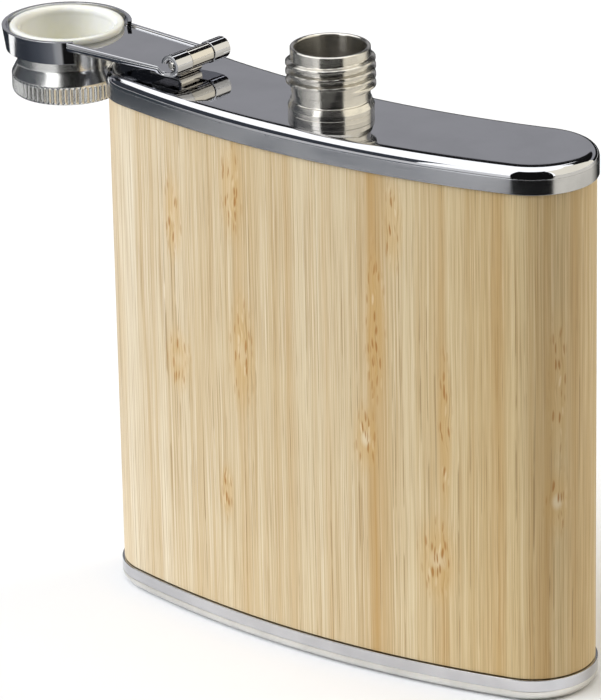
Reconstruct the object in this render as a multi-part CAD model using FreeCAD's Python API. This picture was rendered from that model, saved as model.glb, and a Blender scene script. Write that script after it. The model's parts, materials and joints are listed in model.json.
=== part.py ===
"""Hip flask: steel tank in a bamboo jacket, with a screw cap held captive by a hinged arm.

Millimetres, +Z up. The origin is the middle of the base. The convex face of the curved body
looks along -Y. The cap arm is built swung fully open, lying out over the -X end.
"""
import FreeCAD, Part
import math
import os

V = FreeCAD.Vector

# body outline, seen from above: an arc in front, an arc behind and a round at each end
WIDTH = 93.0              # over the bamboo
THICKNESS = 20.75         # over the bamboo, at the middle
FRONT_RADIUS = 162.2
END_RADIUS = 10.25

# heights
PLATE_Z = 92.9            # top face of the lid
WRAP_LOW = 3.95           # step that the bamboo stands on
WRAP_HIGH = 88.5          # step that the bamboo reaches up to
WRAP_GAP = 0.12           # joint left at each end of the bamboo

# layers, as offsets from the bamboo's outer face
RIM_OUT = 0.4             # the steel rims stand proud
WRAP_T = 0.6
FILM_T = 0.1
WALL = 0.5                # tank wall
SEAM = 0.15               # butt joint of the bamboo sheet, at the back
FILM_MARGIN = 0.4         # adhesive stops short of the bamboo's ends
SHELL_OUT = -(WRAP_T + FILM_T)
SHELL_IN = SHELL_OUT - WALL

# lid and base, pressed dishes
DISH_T = 0.6
LID_H = 1.8
LID_ROUND = 1.55
BASE_H = 1.95
BASE_ROUND = 1.75

# neck, heights above the lid
BORE_R = 5.8
LIP_R = 6.54
GROOVE_R = 6.42
SHOULDER_R = 6.45
COLLAR_R = 7.07
COLLAR_H = 1.6
SHOULDER_H = 2.6
NECK_H = 11.5
LIP_ROUND = 0.25
FLANGE_R = 8.2            # turned out under the lid
FLANGE_T = 0.6

# screw thread, right-hand
PITCH = 1.5
THREAD_START = 4.95       # middle of the first ridge, above the lid
THREAD_TURNS = 2.5
THREAD_ROOT_R = 6.55
THREAD_CREST_R = 7.35
THREAD_BASE_W = 1.0
THREAD_CREST_W = 0.4
CAP_THREAD_ROOT_R = 7.55
CAP_THREAD_CREST_R = 6.97
CAP_THREAD_BASE_W = 0.8
CAP_THREAD_CREST_W = 0.3
CAP_THREAD_TURNS = 1.0
CAP_THREAD_RISE = 1.5 * PITCH     # from the first neck ridge up to the gap that the cap's ridge fills
THREAD_SINK = 0.12        # how far a ridge is buried in its wall
CREST_BULGE = 0.06

# hinge
SKEW_DEG = 5.0            # the arm follows the curve of the body
ARM_L = 29.4              # pin to cap axis, and pin to neck axis
PIN_H = 3.35              # pin axis above the lid
PIN_Z = PLATE_Z + PIN_H
PIN_R = 1.05
PIN_RUN = 0.05            # radial clearance in the arm's knuckles
SHEET = 0.75              # stamped sheet of the arm and the bracket
KNUCKLE_R = PIN_R + PIN_RUN + SHEET
BRACKET_R = PIN_R + 0.65
BARREL = 13.0
BRACKET_W = 5.3
KNUCKLE_GAP = 0.1
PIN_SHY = 0.25            # the pin's ends sit inside the outer knuckles
FOOT_L = 8.0
NOTCH_U = 2.4             # cut-out of the arm's web round the bracket
NOTCH_V = BRACKET_W / 2 + 0.2
CURL_OPEN = 0.25          # the curled sheet stops this far above the pin axis

# arm
ARM_HALF_IN = 6.55        # half width at the hinge
ARM_HALF_OUT = 8.05       # half width where the arm meets the collar
FLANGE_START = 1.95
FLANGE_DROP = 0.5         # the side flanges are lower beside the hinge
REAR_FLANGE_TOP = -0.75   # the rear side stands only a little above the web
RING_HOLE_R = 8.75
COLLAR_TOP_R = 11.0
COLLAR_LOW_R = 10.4
COLLAR_BAND_T = 0.7
COLLAR_BAND_H = 4.1
COLLAR_OPEN_DEG = 39.0    # half of the collar's gap, which faces the hinge
RING_R = COLLAR_TOP_R - COLLAR_BAND_T

# screw cap, depths from its mouth
CAP_TRAVEL = 2.13         # from lifted clear of the thread to screwed down
LINER_FLANGE_R = 9.69
LINER_FLANGE_T = 0.85
LINER_R = 8.2
MOUTH_R = 8.45
THROAT_R = 7.97
MOUTH_DEPTH = 0.7
TAPER_DEPTH = 5.2
SEAL_DEPTH = 10.3
SEAL_T = 0.7
LINER_DEPTH = 11.3
WASHER_IN = 8.62
WASHER_OUT = 9.6
WASHER_T = 0.2
WASHER_GAP = 0.02
CAP_NECK_R = 8.55
COVE_DEPTH = 6.85
RIM_DEPTH = 8.2
CAP_RIM_R = 9.6
CAP_DEPTH = 11.8
CAP_EDGE_ROUND = 0.9
KNURL_COUNT = 64
KNURL_DEPTH = 0.35


# ---------------------------------------------------------------- geometry helpers

def box(low, high):
    size = [b - a for a, b in zip(low, high)]
    return Part.makeBox(*size, V(*low))


def revolve(points):
    """A solid turned about Z from (radius, height) points."""
    wire = Part.makePolygon([V(r, 0, z) for r, z in points + points[:1]])
    return Part.Face(wire).revolve(V(0, 0, 0), V(0, 0, 1), 360)


def body_outline(offset):
    """The body's outline, moved outward by offset, as a face at z = 0."""
    half_t = THICKNESS / 2
    front_y = FRONT_RADIUS - half_t
    end_x = WIDTH / 2 - END_RADIUS
    end_y = front_y - math.sqrt((FRONT_RADIUS - END_RADIUS) ** 2 - end_x ** 2)
    rise = half_t - end_y
    back_radius = (end_x ** 2 + rise ** 2 - END_RADIUS ** 2) / (2 * (END_RADIUS - rise))
    back_y = half_t + back_radius
    end_r = END_RADIUS + offset

    def tangent_point(centre_y, sign):
        """Where the end round at +X meets the arc centred at centre_y."""
        away = V(end_x, end_y - centre_y, 0).normalize()
        return V(end_x, end_y, 0) + away * (sign * end_r)

    def mirrored(point):
        return V(-point.x, point.y, 0)

    front = tangent_point(front_y, 1)
    back = tangent_point(back_y, -1)
    tip = V(end_x + end_r, end_y, 0)
    arcs = [
        Part.Arc(mirrored(front), V(0, -half_t - offset, 0), front),
        Part.Arc(front, tip, back),
        Part.Arc(back, V(0, half_t + offset, 0), mirrored(back)),
        Part.Arc(mirrored(back), mirrored(tip), mirrored(front)),
    ]
    return Part.Face(Part.Wire([arc.toShape() for arc in arcs]))


def body_slab(offset, low, high):
    slab = body_outline(offset).extrude(V(0, 0, high - low))
    slab.translate(V(0, 0, low))
    return slab


def round_edges_at(shape, z, radius):
    edges = [e for e in shape.Edges if abs(e.BoundBox.ZMin - z) < 1e-3 and abs(e.BoundBox.ZMax - z) < 1e-3]
    return shape.makeFillet(radius, edges)


def thread_ridge(root_r, crest_r, base_w, crest_w, start_z, turns):
    """A right-hand ridge with a rounded crest, buried a little in the wall at root_r."""
    out = 1 if crest_r > root_r else -1
    sunk = root_r - out * THREAD_SINK
    helix = Part.makeHelix(PITCH, PITCH * turns, root_r)
    flank_low = [V(sunk, 0, -base_w / 2), V(crest_r - out * CREST_BULGE, 0, -crest_w / 2)]
    flank_high = [V(p.x, 0, -p.z) for p in reversed(flank_low)]
    edges = [
        Part.makeLine(*flank_low),
        Part.Arc(flank_low[1], V(crest_r, 0, 0), flank_high[0]).toShape(),
        Part.makeLine(*flank_high),
        Part.makeLine(flank_high[1], flank_low[0]),
    ]
    ridge = Part.Wire(helix).makePipeShell([Part.Wire(edges)], True, True)
    ridge.translate(V(0, 0, start_z))
    return ridge


# ---------------------------------------------------------------- places and motion

HINGE_AXIS = V(math.sin(math.radians(SKEW_DEG)), math.cos(math.radians(SKEW_DEG)), 0)
ARM_DIRECTION = V(-HINGE_AXIS.y, HINGE_AXIS.x, 0)
PIN_POINT = ARM_DIRECTION * ARM_L + V(0, 0, PIN_Z)
RING_POINT = ARM_DIRECTION * (2 * ARM_L) + V(0, 0, PIN_Z)


def from_hinge(shape):
    """Place a shape drawn about the pin: +X out along the open arm, +Y across it, +Z up."""
    shape.rotate(V(0, 0, 0), V(0, 0, 1), 180 - SKEW_DEG)
    shape.translate(PIN_POINT)
    return shape


def from_ring(shape):
    """Place a shape drawn about the cap's axis with its mouth at z = 0 and its depth downward."""
    shape.rotate(V(0, 0, 0), V(0, 0, 1), 180 - SKEW_DEG)
    shape.translate(RING_POINT)
    return shape


def from_seated(shape):
    """Carry a cap part from screwed down on the neck to lifted, then swing it open."""
    shape.rotate(V(0, 0, 0), V(0, 0, 1), 360 * CAP_TRAVEL / PITCH)
    shape.translate(V(0, 0, CAP_TRAVEL))
    shape.rotate(PIN_POINT, HINGE_AXIS, -180)
    return shape


# ---------------------------------------------------------------- body

def body_shell():
    """The tank's wall, stepped out at both ends into rims that guard the bamboo's edges."""
    outer = body_slab(RIM_OUT, BASE_H, WRAP_LOW)
    outer = outer.fuse(body_slab(SHELL_OUT, WRAP_LOW, WRAP_HIGH))
    outer = outer.fuse(body_slab(RIM_OUT, WRAP_HIGH, PLATE_Z - LID_H))
    inner = body_slab(RIM_OUT - WALL, BASE_H, WRAP_LOW - WALL)
    inner = inner.fuse(body_slab(SHELL_IN, WRAP_LOW - WALL, WRAP_HIGH + WALL))
    inner = inner.fuse(body_slab(RIM_OUT - WALL, WRAP_HIGH + WALL, PLATE_Z - LID_H))
    return outer.cut(inner)


def top_plate():
    lid_low = PLATE_Z - LID_H
    lid = round_edges_at(body_slab(RIM_OUT, lid_low, PLATE_Z), PLATE_Z, LID_ROUND)
    under = body_slab(RIM_OUT - DISH_T, lid_low, PLATE_Z - DISH_T)
    under = round_edges_at(under, PLATE_Z - DISH_T, LID_ROUND - DISH_T)
    hole = Part.makeCylinder(GROOVE_R, LID_H, V(0, 0, lid_low))
    return lid.cut(under).cut(hole)


def bottom_plate():
    base = round_edges_at(body_slab(RIM_OUT, 0, BASE_H), 0, BASE_ROUND)
    over = round_edges_at(body_slab(RIM_OUT - DISH_T, DISH_T, BASE_H), DISH_T, BASE_ROUND - DISH_T)
    return base.cut(over)


def wrap_layer(outer, inner, low, high):
    layer = body_slab(outer, low, high).cut(body_slab(inner, low, high))
    seam = box((-SEAM / 2, 0, low), (SEAM / 2, THICKNESS, high))
    return layer.cut(seam)


def bamboo_wrap():
    return wrap_layer(0, -WRAP_T, WRAP_LOW + WRAP_GAP, WRAP_HIGH - WRAP_GAP)


def adhesive_film():
    return wrap_layer(-WRAP_T, SHELL_OUT, WRAP_LOW + FILM_MARGIN, WRAP_HIGH - FILM_MARGIN)


def neck():
    low = PLATE_Z - DISH_T
    turn_root = PLATE_Z + THREAD_START - PITCH / 2
    top = PLATE_Z + NECK_H
    core = revolve([
        (BORE_R, low - FLANGE_T), (FLANGE_R, low - FLANGE_T), (FLANGE_R, low),
        (GROOVE_R, low), (GROOVE_R, PLATE_Z),
        (COLLAR_R, PLATE_Z), (COLLAR_R, PLATE_Z + COLLAR_H),
        (SHOULDER_R, PLATE_Z + SHOULDER_H), (GROOVE_R, PLATE_Z + SHOULDER_H),
        (GROOVE_R, turn_root), (THREAD_ROOT_R, turn_root),
        (THREAD_ROOT_R, PLATE_Z + THREAD_START + PITCH * (THREAD_TURNS + 0.5)),
        (LIP_R, PLATE_Z + THREAD_START + PITCH * (THREAD_TURNS + 0.5)),
        (LIP_R, top - LIP_ROUND), (LIP_R - LIP_ROUND, top), (BORE_R + LIP_ROUND, top),
        (BORE_R, top - LIP_ROUND),
    ])
    ridge = thread_ridge(THREAD_ROOT_R, THREAD_CREST_R, THREAD_BASE_W, THREAD_CREST_W,
                         PLATE_Z + THREAD_START, THREAD_TURNS)
    return core.fuse(ridge)


# ---------------------------------------------------------------- hinge and arm

def across(radius, half_width, middle=0.0):
    """A cylinder on the pin's axis."""
    return Part.makeCylinder(radius, 2 * half_width, V(0, middle - half_width, 0), V(0, 1, 0))


def hinge_bracket():
    """Middle knuckle, its leg, and the foot that is spot-welded to the lid under the arm."""
    half = BRACKET_W / 2
    knuckle = across(BRACKET_R, half)
    leg = box((BRACKET_R - SHEET, -half, -PIN_H), (BRACKET_R, half, 0))
    foot = box((BRACKET_R - SHEET, -half, -PIN_H), (FOOT_L, half, SHEET - PIN_H))
    return from_hinge(knuckle.fuse(leg).fuse(foot).cut(across(PIN_R, half)))


def hinge_pin():
    pin = across(PIN_R, BARREL / 2 - PIN_SHY)
    return from_hinge(pin)


def knuckles():
    """The two outer knuckles: the arm's sheet curled up and over the pin."""
    inner_edge = BRACKET_W / 2 + KNUCKLE_GAP
    half = (BARREL / 2 - inner_edge) / 2
    pieces = []
    for side in (-1, 1):
        middle = side * (inner_edge + half)
        tube = across(KNUCKLE_R, half, middle).cut(across(PIN_R + PIN_RUN, half, middle))
        mouth = box((0, middle - half, SHEET - KNUCKLE_R), (KNUCKLE_R, middle + half, CURL_OPEN))
        pieces.append(tube.cut(mouth.cut(across(PIN_R + PIN_RUN, half, middle))))
    return pieces


def arm_plan(inset, start):
    """The arm's tapered plan from start out to the collar, as a face."""
    end = ARM_L - COLLAR_TOP_R * math.cos(math.asin(ARM_HALF_OUT / COLLAR_TOP_R))
    slope = (ARM_HALF_OUT - ARM_HALF_IN) / end
    near = ARM_HALF_IN + slope * start - inset
    far_u = ARM_L - RING_R / 2
    far = ARM_HALF_IN + slope * far_u - inset
    corners = [V(start, -near, 0), V(far_u, -far, 0), V(far_u, far, 0), V(start, near, 0)]
    return Part.Face(Part.makePolygon(corners + corners[:1]))


def arm_sides():
    """The two side flanges, the rear one low, cut off where they meet the collar."""
    outer = arm_plan(0, FLANGE_START).extrude(V(0, 0, KNUCKLE_R))
    inner = arm_plan(SHEET, 0).extrude(V(0, 0, KNUCKLE_R))
    sides = outer.cut(inner)
    sides.translate(V(0, 0, -KNUCKLE_R))
    wedge = Part.Face(Part.makePolygon([
        V(0, -WIDTH, -FLANGE_DROP), V(ARM_L, -WIDTH, 0), V(0, -WIDTH, 0), V(0, -WIDTH, -FLANGE_DROP),
    ])).extrude(V(0, 2 * WIDTH, 0))
    ring_space = Part.makeCylinder(COLLAR_TOP_R, 2 * KNUCKLE_R, V(ARM_L, 0, -KNUCKLE_R))
    rear_space = box((0, -WIDTH, REAR_FLANGE_TOP), (ARM_L, 0, 0))
    return sides.cut(wedge).cut(rear_space).cut(ring_space)


def cap_arm():
    """Stamped channel: web with an eye for the cap, side flanges and curled knuckles."""
    web = arm_plan(0, 0).fuse(Part.Face(Part.Wire(Part.makeCircle(RING_R, V(ARM_L, 0, 0)))))
    web = web.extrude(V(0, 0, SHEET)).removeSplitter()
    web.translate(V(0, 0, -KNUCKLE_R))
    web = web.cut(Part.makeCylinder(RING_HOLE_R, SHEET, V(ARM_L, 0, -KNUCKLE_R)))
    web = web.cut(box((-KNUCKLE_R, -NOTCH_V, -KNUCKLE_R), (NOTCH_U, NOTCH_V, 0)))
    web = web.cut(box((-KNUCKLE_R, -WIDTH, -KNUCKLE_R), (NOTCH_U / 2, -BARREL / 2, 0)))
    web = web.cut(box((-KNUCKLE_R, BARREL / 2, -KNUCKLE_R), (NOTCH_U / 2, WIDTH, 0)))
    arm = web.multiFuse([arm_sides()] + knuckles())
    return from_hinge(arm.cut(collar(at=V(ARM_L, 0, 0)))).removeSplitter()


def collar(at=V(0, 0, 0)):
    """The deep band round the cap, drawn with its gap facing the hinge (-X)."""
    slope = (COLLAR_TOP_R - COLLAR_LOW_R) / COLLAR_BAND_H
    ring = revolve([
        (COLLAR_TOP_R, 0), (COLLAR_TOP_R - COLLAR_BAND_T, 0),
        (COLLAR_LOW_R - COLLAR_BAND_T, -COLLAR_BAND_H), (COLLAR_TOP_R - slope * COLLAR_BAND_H, -COLLAR_BAND_H),
    ])
    reach = 2 * COLLAR_TOP_R
    side = reach * math.tan(math.radians(COLLAR_OPEN_DEG))
    gap = Part.Face(Part.makePolygon([
        V(0, 0, -COLLAR_BAND_H), V(-reach, side, -COLLAR_BAND_H),
        V(-reach, -side, -COLLAR_BAND_H), V(0, 0, -COLLAR_BAND_H),
    ])).extrude(V(0, 0, COLLAR_BAND_H))
    band = ring.cut(gap)
    band.translate(at)
    return band


def collar_band():
    return from_ring(collar())


# ---------------------------------------------------------------- screw cap

def slip_washer():
    """Thin washer between the liner's flange and the arm's eye; it rises with the cap, unturned."""
    high = -LINER_FLANGE_T - WASHER_GAP
    low = high - WASHER_T
    return from_ring(revolve([(WASHER_IN, low), (WASHER_OUT, low), (WASHER_OUT, high), (WASHER_IN, high)]))


def seated(shape):
    """Turn a cap part drawn mouth up, depth downward, over onto the neck in its screwed-down place."""
    shape.rotate(V(0, 0, 0), V(1, 0, 0), 180)
    shape.translate(V(0, 0, PIN_Z - CAP_TRAVEL))
    return shape


def cap_liner():
    """Moulded liner: flange, flared mouth, tapered bore and one turn of thread."""
    body = revolve([
        (MOUTH_R, 0), (LINER_FLANGE_R - 0.2, 0), (LINER_FLANGE_R, -0.2), (LINER_FLANGE_R, -LINER_FLANGE_T),
        (LINER_R, -LINER_FLANGE_T), (LINER_R, -LINER_DEPTH), (0, -LINER_DEPTH), (0, -SEAL_DEPTH - SEAL_T),
        (CAP_THREAD_ROOT_R, -SEAL_DEPTH - SEAL_T), (CAP_THREAD_ROOT_R, -TAPER_DEPTH),
        (THROAT_R, -MOUTH_DEPTH),
    ])
    body = seated(body)
    ridge = thread_ridge(CAP_THREAD_ROOT_R, CAP_THREAD_CREST_R, CAP_THREAD_BASE_W, CAP_THREAD_CREST_W,
                         PLATE_Z + THREAD_START + CAP_THREAD_RISE, CAP_THREAD_TURNS)
    return from_seated(body.fuse(ridge))


def cap_seal():
    seal = Part.makeCylinder(CAP_THREAD_ROOT_R - 0.02, SEAL_T, V(0, 0, -SEAL_DEPTH - SEAL_T))
    return from_seated(seated(seal))


def knurled(radius, depth, low, high):
    """A prism with KNURL_COUNT small teeth."""
    points = []
    for i in range(2 * KNURL_COUNT):
        r = radius - (i % 2) * depth
        a = math.pi * i / KNURL_COUNT
        points.append(V(r * math.cos(a), r * math.sin(a), low))
    return Part.Face(Part.makePolygon(points + points[:1])).extrude(V(0, 0, high - low))


def cap_shell():
    """Turned steel shell: plain neck, cove and knurled rim with a rounded end."""
    high = -LINER_FLANGE_T
    edge = CAP_EDGE_ROUND
    outer = revolve([
        (0, high), (CAP_NECK_R, high), (CAP_NECK_R, -COVE_DEPTH), (CAP_RIM_R - 0.3, -RIM_DEPTH),
        (CAP_RIM_R, -RIM_DEPTH - 0.3), (CAP_RIM_R, edge - CAP_DEPTH),
        (CAP_RIM_R - edge * 0.3, edge * 0.3 - CAP_DEPTH), (CAP_RIM_R - edge, -CAP_DEPTH), (0, -CAP_DEPTH),
    ])
    teeth = knurled(CAP_RIM_R, KNURL_DEPTH, -CAP_DEPTH, -RIM_DEPTH)
    plain = Part.makeCylinder(CAP_RIM_R, RIM_DEPTH, V(0, 0, -RIM_DEPTH))
    hollow = Part.makeCylinder(LINER_R, LINER_DEPTH, V(0, 0, -LINER_DEPTH))
    return from_seated(seated(outer.common(teeth.fuse(plain)).cut(hollow)))


# ---------------------------------------------------------------- write the parts

BUILDERS = [
    body_shell, top_plate, bottom_plate, bamboo_wrap, adhesive_film, neck, hinge_bracket, hinge_pin,
    cap_arm, collar_band, slip_washer, cap_shell, cap_liner, cap_seal,
]

os.makedirs("parts", exist_ok=True)
for builder in BUILDERS:
    shape = builder()
    name = builder.__name__
    shape.exportStep(f"parts/{name}.step")
    bounds = shape.BoundBox
    print(f"{name:15s} valid {shape.isValid()} solids {len(shape.Solids)} volume {shape.Volume:10.2f} "
          f"x {bounds.XMin:8.2f} {bounds.XMax:8.2f} y {bounds.YMin:8.2f} {bounds.YMax:8.2f} "
          f"z {bounds.ZMin:8.2f} {bounds.ZMax:8.2f}")
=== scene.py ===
"""The looks of the hip flask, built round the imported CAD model. Metres, in the model's own frame."""

import json
import math

import bmesh
import bpy
import numpy as np
from mathutils import Matrix, Vector


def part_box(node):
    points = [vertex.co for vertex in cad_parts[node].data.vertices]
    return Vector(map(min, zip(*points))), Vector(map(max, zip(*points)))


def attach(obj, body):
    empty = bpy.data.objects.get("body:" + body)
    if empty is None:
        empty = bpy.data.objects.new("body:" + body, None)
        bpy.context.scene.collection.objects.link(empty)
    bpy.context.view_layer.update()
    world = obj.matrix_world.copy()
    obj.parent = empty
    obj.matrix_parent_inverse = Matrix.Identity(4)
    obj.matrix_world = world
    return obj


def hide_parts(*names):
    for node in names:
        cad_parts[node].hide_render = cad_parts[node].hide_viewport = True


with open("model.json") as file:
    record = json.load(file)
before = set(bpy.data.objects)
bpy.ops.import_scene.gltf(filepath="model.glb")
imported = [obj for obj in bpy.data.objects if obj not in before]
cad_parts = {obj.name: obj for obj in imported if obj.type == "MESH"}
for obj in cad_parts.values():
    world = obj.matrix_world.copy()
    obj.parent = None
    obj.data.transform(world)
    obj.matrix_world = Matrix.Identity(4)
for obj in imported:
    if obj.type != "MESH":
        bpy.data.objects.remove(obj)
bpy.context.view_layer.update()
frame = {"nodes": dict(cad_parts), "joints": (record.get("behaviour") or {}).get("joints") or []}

MM = 0.001
SMOOTH_ANGLE = math.radians(38)

# ---------------------------------------------------------------- places read from the frame

JOINTS = {joint["name"]: joint for joint in frame["joints"]}
PIN = Vector(JOINTS["arm_hinge"]["pos_m"])
CAP = Vector(JOINTS["cap_spin"]["pos_m"])
ARM_LENGTH = (CAP - PIN).length
LID_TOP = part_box("top_plate")[1].z
LID_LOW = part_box("top_plate")[0].z
BASE_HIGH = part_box("bottom_plate")[1].z
WRAP_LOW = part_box("bamboo_wrap")[0].z
WRAP_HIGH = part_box("bamboo_wrap")[1].z
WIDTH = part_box("bamboo_wrap")[1].x * 2
THICKNESS = -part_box("bamboo_wrap")[0].y * 2
NECK_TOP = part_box("neck")[1].z
CAP_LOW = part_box("cap_shell")[0].z

# local frames: X out along the open arm, Y across it, Z up
TURN = Matrix.Rotation(math.atan2(CAP.y - PIN.y, CAP.x - PIN.x), 4, "Z")
HINGE_FRAME = Matrix.Translation(PIN) @ TURN
CAP_FRAME = Matrix.Translation(CAP) @ TURN

# ---------------------------------------------------------------- body outline

FRONT_RADIUS = 162.2 * MM
END_RADIUS = 10.25 * MM
RIM_OUT = 0.4 * MM
WALL = 0.5 * MM
SHELL_OUT = -0.7 * MM
WRAP_T = 0.6 * MM
SEAM = 0.15 * MM
WRAP_GAP = 0.12 * MM

FRONT_Y = FRONT_RADIUS - THICKNESS / 2
END_X = WIDTH / 2 - END_RADIUS
END_Y = FRONT_Y - math.sqrt((FRONT_RADIUS - END_RADIUS) ** 2 - END_X ** 2)
END_RISE = THICKNESS / 2 - END_Y
BACK_RADIUS = (END_X ** 2 + END_RISE ** 2 - END_RADIUS ** 2) / (2 * (END_RADIUS - END_RISE))
BACK_Y = THICKNESS / 2 + BACK_RADIUS
FRONT_SPREAD = math.atan2(END_X, FRONT_Y - END_Y)
BACK_SPREAD = math.atan2(END_X, BACK_Y - END_Y)
QUARTER = math.pi / 2
ARC_STEPS = 64


def arc(centre, radius, start, stop, steps=ARC_STEPS):
    """Points on an arc, without its last one."""
    a = np.linspace(start, stop, steps, endpoint=False)
    return np.stack([centre[0] + radius * np.cos(a), centre[1] + radius * np.sin(a)], 1)


def outline(offset):
    """The body's outline moved out by offset, from the middle of the back round by -X, once round."""
    end = END_RADIUS + offset
    back = BACK_RADIUS - offset
    return np.concatenate([
        arc((0, BACK_Y), back, -QUARTER, -QUARTER - BACK_SPREAD),
        arc((-END_X, END_Y), end, QUARTER - BACK_SPREAD, 3 * QUARTER - FRONT_SPREAD),
        arc((0, FRONT_Y), FRONT_RADIUS + offset, 3 * QUARTER - FRONT_SPREAD, 3 * QUARTER + FRONT_SPREAD,
            2 * ARC_STEPS),
        arc((END_X, END_Y), end, 3 * QUARTER + FRONT_SPREAD, 5 * QUARTER + BACK_SPREAD),
        arc((0, BACK_Y), back, BACK_SPREAD - QUARTER, -QUARTER),
    ])


def girth():
    """Distance round the bamboo's face at each outline point, from the middle of the front."""
    points = outline(0)
    steps = np.linalg.norm(np.roll(points, -1, 0) - points, axis=1)
    run = np.concatenate([[0], np.cumsum(steps)])
    return run - run[-1] / 2


# ---------------------------------------------------------------- mesh building

def add_mesh(name, verts, faces, material, body, replaces=(), uvs=None, place=None):
    """A smooth piece that rides on a body. uvs holds one pair for each vertex."""
    mesh = bpy.data.meshes.new(name)
    mesh.from_pydata([tuple(v) for v in verts], [], faces)
    if uvs is not None:
        layer = mesh.uv_layers.new(name="surface")
        corner = np.empty(len(mesh.loops), dtype=np.int32)
        mesh.loops.foreach_get("vertex_index", corner)
        layer.data.foreach_set("uv", np.asarray(uvs, dtype=np.float32)[corner].ravel())
    work = bmesh.new()
    work.from_mesh(mesh)
    bmesh.ops.remove_doubles(work, verts=work.verts, dist=1e-7)
    bmesh.ops.dissolve_degenerate(work, edges=work.edges, dist=1e-8)
    bmesh.ops.recalc_face_normals(work, faces=work.faces)
    if place is not None:
        bmesh.ops.transform(work, matrix=place, verts=work.verts)
    work.to_mesh(mesh)
    work.free()
    mesh.shade_smooth()
    mesh.set_sharp_from_angle(angle=SMOOTH_ANGLE)
    mesh.materials.append(material)
    piece = bpy.data.objects.new(name, mesh)
    bpy.context.scene.collection.objects.link(piece)
    flat = piece.modifiers.new("even_normals", "WEIGHTED_NORMAL")
    flat.keep_sharp = True
    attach(piece, body)
    if replaces:
        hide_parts(*replaces)
    return piece


def skin(rows, close_rows=False, close_columns=True, caps=()):
    """Vertices and quads over rows of points. caps lists rows, or columns on an open skin, to fill."""
    count, width = len(rows), len(rows[0])
    verts = np.concatenate([np.asarray(row, dtype=float) for row in rows])
    faces = []
    for i in range(count if close_rows else count - 1):
        k = (i + 1) % count
        for j in range(width if close_columns else width - 1):
            n = (j + 1) % width
            faces.append((i * width + j, i * width + n, k * width + n, k * width + j))
    if close_columns:
        faces += [tuple(range((c % count) * width, (c % count) * width + width)) for c in caps]
    else:
        faces += [tuple(i * width + (c % width) for i in range(count)) for c in caps]
    return verts, faces


def rounded(corners, steps=5):
    """A closed profile from (x, y, radius) corners, each rounded by its radius."""
    points = []
    count = len(corners)
    for i, (x, y, radius) in enumerate(corners):
        here = Vector((x, y))
        if radius <= 0:
            points.append(tuple(here))
            continue
        before = (Vector(corners[i - 1][:2]) - here).normalized()
        after = (Vector(corners[(i + 1) % count][:2]) - here).normalized()
        half = before.angle(after) / 2
        reach = radius / math.tan(half)
        middle = here + (before + after).normalized() * (radius / math.sin(half))
        first = here + before * reach - middle
        turn = first.angle_signed(here + after * reach - middle)
        for k in range(steps + 1):
            a = -turn * k / steps
            spun = Vector((first.x * math.cos(a) - first.y * math.sin(a),
                           first.x * math.sin(a) + first.y * math.cos(a)))
            points.append(tuple(middle + spun))
    return points


def circle(radius, z, segments):
    a = np.linspace(0, 2 * math.pi, segments, endpoint=False)
    radius = np.broadcast_to(radius, a.shape)
    return np.stack([radius * np.cos(a), radius * np.sin(a), np.full(segments, z)], 1)


def dense(profile, step, low, high):
    """The closed profile with extra points, step apart, where its runs pass between two heights."""
    points = []
    for (r0, z0), (r1, z1) in zip(profile, profile[1:] + profile[:1]):
        points.append((r0, z0))
        cuts = int(abs(z1 - z0) / step)
        for k in range(1, cuts):
            z = z0 + (z1 - z0) * k / cuts
            if low <= z <= high:
                points.append((r0 + (r1 - r0) * k / cuts, z))
    return points


def lathe(profile, segments, shape=None):
    """Rows of a closed (radius, z) profile turned about Z. shape(radius, z, angles) may change a row."""
    a = np.linspace(0, 2 * math.pi, segments, endpoint=False)
    rows = []
    for r, z in profile:
        radius = np.full(segments, r) if shape is None else shape(r, z, a)
        rows.append(circle(radius, z, segments))
    return skin(rows, close_rows=True)


def round_body(section):
    """Rows of a closed (offset, z) section carried round the body's outline."""
    rows = []
    for offset, z in section:
        line = outline(offset)
        rows.append(np.column_stack([line, np.full(len(line), z)]))
    return rows


def girth_uvs(rows):
    """UV pairs in metres: distance round the body, and distance along the section."""
    around = girth()[:-1]
    edge = np.array([row[0] for row in rows])
    run = np.concatenate([[0], np.cumsum(np.linalg.norm(np.diff(edge, axis=0), axis=1))])
    run += rows[0][:, 2].mean()
    return np.concatenate([np.column_stack([around, np.full(len(around), v)]) for v in run])


# ---------------------------------------------------------------- shader helpers

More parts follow.
